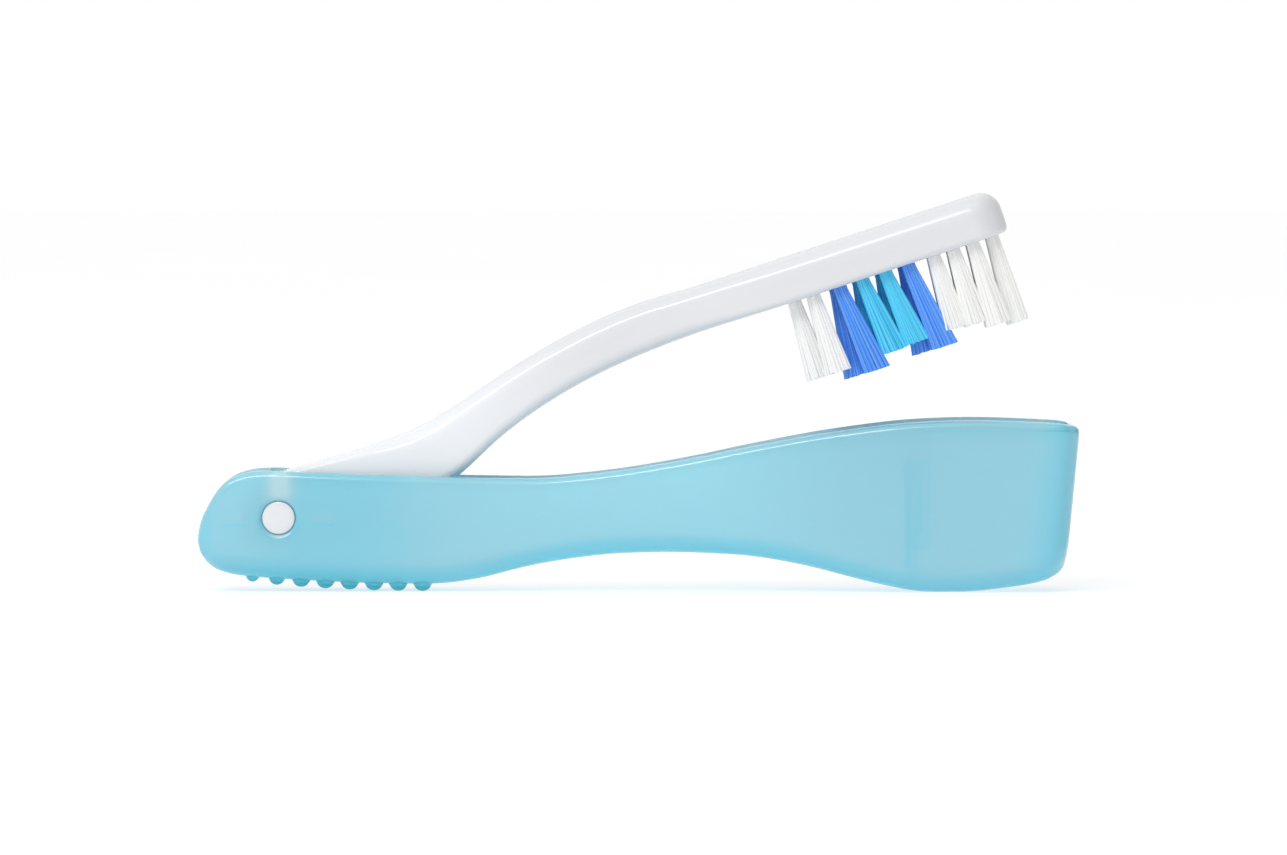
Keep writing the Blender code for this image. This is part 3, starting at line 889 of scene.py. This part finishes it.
def add_noise(nodes, links, scale, detail=2.0, stretch=(1.0, 1.0, 1.0)):
    place = nodes.new("ShaderNodeTexCoord")
    mapping = nodes.new("ShaderNodeMapping")
    mapping.inputs["Scale"].default_value = stretch
    noise = nodes.new("ShaderNodeTexNoise")
    noise.inputs["Scale"].default_value = scale
    noise.inputs["Detail"].default_value = detail
    links.new(place.outputs["Object"], mapping.inputs["Vector"])
    links.new(mapping.outputs["Vector"], noise.inputs["Vector"])
    return noise.outputs["Fac"]


def add_scaled(nodes, links, value, factor, total):
    """A total with the value, times a factor, added to it."""
    step = nodes.new("ShaderNodeMath")
    step.operation = "MULTIPLY_ADD"
    step.inputs[1].default_value = factor
    links.new(value, step.inputs[0])
    links.new(total, step.inputs[2])
    return step.outputs["Value"]


def add_product(nodes, links, first, second):
    step = nodes.new("ShaderNodeMath")
    step.operation = "MULTIPLY"
    links.new(first, step.inputs[0])
    links.new(second, step.inputs[1])
    return step.outputs["Value"]


def add_patch(nodes, links, low, high, edges):
    """1 inside a rectangle of the side view and 0 outside, fading over its edges."""
    place = nodes.new("ShaderNodeTexCoord")
    centred = nodes.new("ShaderNodeVectorMath")
    centred.operation = "SUBTRACT"
    centred.inputs[1].default_value = middle_of(low, high)
    reach = nodes.new("ShaderNodeVectorMath")
    reach.operation = "ABSOLUTE"
    split = nodes.new("ShaderNodeSeparateXYZ")
    links.new(place.outputs["Object"], centred.inputs[0])
    links.new(centred.outputs["Vector"], reach.inputs[0])
    links.new(reach.outputs["Vector"], split.inputs["Vector"])
    fades = []
    for a, b, edge, axis in zip(low, high, edges, "XZ"):
        span = ((b - a - edge) * MM / 2, (b - a + edge) * MM / 2)
        fades.append(add_range(nodes, links, split.outputs[axis], 1.0, 0.0, span))
    return add_product(nodes, links, *fades)


def add_ramp(nodes, links, value, stops):
    ramp = nodes.new("ShaderNodeValToRGB")
    elements = ramp.color_ramp.elements
    while len(elements) < len(stops):
        elements.new(0.5)
    for element, (position, colour) in zip(elements, stops):
        element.position = position
        element.color = (*colour, 1.0)
    links.new(value, ramp.inputs["Fac"])
    return ramp.outputs["Color"]


def add_range(nodes, links, value, low, high, span=(0.0, 1.0)):
    """Turns a value's span into low to high."""
    change = nodes.new("ShaderNodeMapRange")
    change.inputs["From Min"].default_value, change.inputs["From Max"].default_value = span
    change.inputs["To Min"].default_value = low
    change.inputs["To Max"].default_value = high
    links.new(value, change.inputs["Value"])
    return change.outputs["Result"]


def add_bump(nodes, links, value, strength, distance):
    bump = nodes.new("ShaderNodeBump")
    bump.inputs["Strength"].default_value = strength
    bump.inputs["Distance"].default_value = distance
    links.new(value, bump.inputs["Height"])
    return bump.outputs["Normal"]


def frosted_plastic():
    """Milky polypropylene: its walls scatter and tint the light, and its edges tint it more."""
    outer_roughness, inner_roughness = 0.58, 0.3
    wall_coat, bump_coat, coat_span = 1.0, 0.2, (0.45, 0.9)
    made, nodes, links, shader = new_material("frosted_case")
    # The stored depth already has the painted highlight and painted light taken off it.
    depth = add_attribute(nodes, "depth")
    inside = add_attribute(nodes, "inside")
    outside = add_range(nodes, links, inside, 1.0, 0.0)
    for low, high, edges, strength in through_the_wall():
        patch = add_product(nodes, links, add_patch(nodes, links, low, high, edges), outside)
        depth = add_scaled(nodes, links, patch, strength / MOST_DEPTH, depth)
    cloud = add_noise(nodes, links, 55.0, 3.0, (1.0, 1.6, 2.2))
    depth = add_scaled(nodes, links, cloud, 0.06, depth)
    # Mixes in the greyer haze: painted shade in the head bay, a greyer tone at the yoke and rear.
    hazy_and_shaded = nodes.new("ShaderNodeMixRGB")
    hazy_and_shaded.inputs["Color2"].default_value = (*HAZE_AND_SHADE_TINT, 1.0)
    links.new(add_attribute(nodes, "haze_and_shade"), hazy_and_shaded.inputs["Fac"])
    links.new(add_ramp(nodes, links, depth, CASE_TINTS), hazy_and_shaded.inputs["Color1"])
    links.new(hazy_and_shaded.outputs["Color"], shader.inputs["Base Color"])
    roughness = add_range(nodes, links, inside, outer_roughness, inner_roughness)
    links.new(roughness, shader.inputs["Roughness"])
    grain = add_noise(nodes, links, 2600.0, 2.0)
    links.new(add_bump(nodes, links, grain, 0.10, 0.00003), shader.inputs["Normal"])
    shader.inputs["IOR"].default_value = 1.49
    shader.inputs["Transmission Weight"].default_value = 0.42
    coat = add_range(nodes, links, depth, wall_coat, bump_coat, coat_span)
    links.new(coat, shader.inputs["Coat Weight"])
    shader.inputs["Coat IOR"].default_value = 1.6
    shader.inputs["Coat Roughness"].default_value = 0.13
    volume = nodes.new("ShaderNodeVolumeAbsorption")
    volume.inputs["Color"].default_value = (0.0, 0.91, 0.97, 1.0)
    volume.inputs["Density"].default_value = 300.0
    links.new(volume.outputs["Volume"], nodes["Material Output"].inputs["Volume"])
    return made


def white_plastic():
    """Glossy white plastic that turns satin towards the tip of the head, with painted light round its root."""
    glossy, satin = 0.09, 0.25
    made, nodes, links, shader = new_material("white_arm")
    flow = add_noise(nodes, links, 40.0, 3.0)
    # Random flow in tone, plus the painted light round the root.
    tone = add_scaled(nodes, links, flow, 0.2, add_attribute(nodes, "root_painted_light"))
    links.new(add_ramp(nodes, links, tone, ARM_TINTS), shader.inputs["Base Color"])
    dullness = add_scaled(nodes, links, flow, 0.15, add_attribute(nodes, "satin"))
    links.new(add_range(nodes, links, dullness, glossy, satin), shader.inputs["Roughness"])
    grain = add_noise(nodes, links, 900.0, 2.0)
    links.new(add_bump(nodes, links, grain, 0.05, 0.00004), shader.inputs["Normal"])
    shader.inputs["IOR"].default_value = 1.47
    shader.inputs["Subsurface Weight"].default_value = 0.25
    shader.inputs["Subsurface Radius"].default_value = (1.0, 1.0, 1.0)
    shader.inputs["Subsurface Scale"].default_value = 0.0015
    return made


def nylon(name, dark, light, roughness):
    """Filaments vary a little in tone and roughness from one to the next."""
    made, nodes, links, shader = new_material(name)
    tone = add_attribute(nodes, "tone")
    tint = add_ramp(nodes, links, tone, ((0.0, dark), (1.0, light)))
    links.new(tint, shader.inputs["Base Color"])
    most_roughness = roughness + 0.12
    links.new(add_range(nodes, links, tone, roughness, most_roughness), shader.inputs["Roughness"])
    shader.inputs["IOR"].default_value = 1.53
    return made


def stamped_metal():
    made, nodes, links, shader = new_material("anchor_metal")
    grain = add_noise(nodes, links, 3000.0, 3.0, (1.0, 1.0, 8.0))
    links.new(add_ramp(nodes, links, grain, METAL_TINTS), shader.inputs["Base Color"])
    links.new(add_range(nodes, links, grain, 0.25, 0.40), shader.inputs["Roughness"])
    shader.inputs["Metallic"].default_value = 1.0
    return made


def floor_finish():
    """A white sweep, lit from below like a light table, so that it reads as white all over."""
    made, nodes, links, shader = new_material("pale_floor")
    grain = add_noise(nodes, links, 8.0, 3.0)
    links.new(add_ramp(nodes, links, grain, FLOOR_TINTS), shader.inputs["Base Color"])
    shader.inputs["Roughness"].default_value = 0.9
    shader.inputs["Specular IOR Level"].default_value = 0.1
    shader.inputs["Emission Color"].default_value = (1.0, 1.0, 1.0, 1.0)
    shader.inputs["Emission Strength"].default_value = 0.66
    return made


# ---------------------------------------------------------------------------------------------
# The room
# ---------------------------------------------------------------------------------------------


FLOOR_SIZE = 9000
FLOOR_THICKNESS = 20.0

# How bright the studio is overhead, on the right and in front, and where it fades from white.
OVERHEAD_LIGHT, OVERHEAD_SPAN = 0.56, (0.1, 0.6)
RIGHT_LIGHT, RIGHT_SPAN = 0.4, (0.3, 0.8)
FRONT_LIGHT, FRONT_SPAN = 0.66, (-0.9, -0.1)


def build_floor():
    outline = rectangle((0, 0), (FLOOR_SIZE, FLOOR_SIZE))
    floor = make_object("floor", [prism(outline, -FLOOR_THICKNESS, 0.0, "Z")])
    dress(floor, floor_finish())


def place_light(name, light, azimuth, elevation, away):
    """Puts a light so many metres away, facing the toothbrush. Azimuth 0 is in front."""
    lamp = bpy.data.objects.new(name, light)
    turn, rise = math.radians(azimuth), math.radians(elevation)
    towards = Vector((
        math.sin(turn) * math.cos(rise), -math.cos(turn) * math.cos(rise), math.sin(rise)
    ))
    lamp.location = towards * away
    lamp.rotation_euler = (-towards).to_track_quat("-Z", "Y").to_euler()
    bpy.context.scene.collection.objects.link(lamp)


def add_soft_sun(name, azimuth, elevation, spread, strength):
    """A large round light far away, so that it falls evenly on the floor."""
    light = bpy.data.lights.new(name, "SUN")
    light.energy = strength
    light.angle = math.radians(spread)
    place_light(name, light, azimuth, elevation, 1.0)


def add_softbox(name, azimuth, elevation, away, size, radiance):
    """A rectangular softbox; sizes in metres."""
    light = bpy.data.lights.new(name, "AREA")
    light.shape = "RECTANGLE"
    light.size, light.size_y = size
    light.energy = radiance * math.pi * size[0] * size[1]
    place_light(name, light, azimuth, elevation, away)


def build_world():
    """A studio that looks white all round but lights less from overhead, in front and the right."""
    world = bpy.data.worlds.new("studio")
    world.use_nodes = True
    nodes, links = world.node_tree.nodes, world.node_tree.links
    direction = nodes.new("ShaderNodeTexCoord")
    split = nodes.new("ShaderNodeSeparateXYZ")
    links.new(direction.outputs["Generated"], split.inputs["Vector"])
    upwards = add_range(nodes, links, split.outputs["Z"], 1.0, OVERHEAD_LIGHT, OVERHEAD_SPAN)
    rightwards = add_range(nodes, links, split.outputs["X"], 1.0, RIGHT_LIGHT, RIGHT_SPAN)
    frontwards = add_range(nodes, links, split.outputs["Y"], FRONT_LIGHT, 1.0, FRONT_SPAN)
    strength = add_product(nodes, links, upwards, add_product(nodes, links, rightwards, frontwards))
    seen = nodes.new("ShaderNodeMath")
    seen.operation = "MAXIMUM"
    links.new(nodes.new("ShaderNodeLightPath").outputs["Is Camera Ray"], seen.inputs[0])
    links.new(strength, seen.inputs[1])
    links.new(seen.outputs["Value"], nodes["Background"].inputs["Strength"])
    nodes["Background"].inputs["Color"].default_value = (1.0, 1.0, 1.0, 1.0)
    bpy.context.scene.world = world


def build_lights():
    """Soft light from above in front and behind, and a strip that draws the arm's highlight."""
    add_soft_sun("front_light", azimuth=-14, elevation=62, spread=60, strength=0.5)
    add_softbox("strip_light", azimuth=-28, elevation=45, away=1.5, size=(1.1, 0.065), radiance=34.0)
    add_soft_sun("back_light", azimuth=172, elevation=55, spread=60, strength=0.4)


def build_camera():
    """A long lens in front of the toothbrush, a little above it."""
    elevation = 2.0
    distance = 1006.0
    aim = Vector((0.53, 0.0, 19.05)) * MM
    camera = bpy.data.cameras.new("camera")
    camera.lens = 240.0
    camera.sensor_width = 36.0
    camera.clip_start = 0.02
    camera.clip_end = 60.0
    holder = bpy.data.objects.new("camera", camera)
    tilt = math.radians(elevation)
    back = Vector((0.0, -math.cos(tilt), math.sin(tilt)))
    holder.location = aim + back * distance * MM
    holder.rotation_euler = (-back).to_track_quat("-Z", "Y").to_euler()
    bpy.context.scene.collection.objects.link(holder)
    bpy.context.scene.camera = holder


def set_up_view():
    scene = bpy.context.scene
    scene.view_settings.view_transform = "Standard"
    scene.cycles.max_bounces = 24
    scene.cycles.diffuse_bounces = 12
    scene.cycles.transmission_bounces = 20


def dress_anchors():
    metal = stamped_metal()
    for name, node in frame["nodes"].items():
        if name.startswith("anchor_"):
            dress(node, metal)


def main():
    set_up_view()
    build_camera()
    build_world()
    build_lights()
    build_floor()
    build_case()
    tufts = read_tufts()
    build_arm(tufts)
    finishes = {slot: nylon(*values) for slot, values in NYLONS.items()}
    for tuft in tufts:
        build_tuft(tuft, finishes)
    dress_anchors()


main()
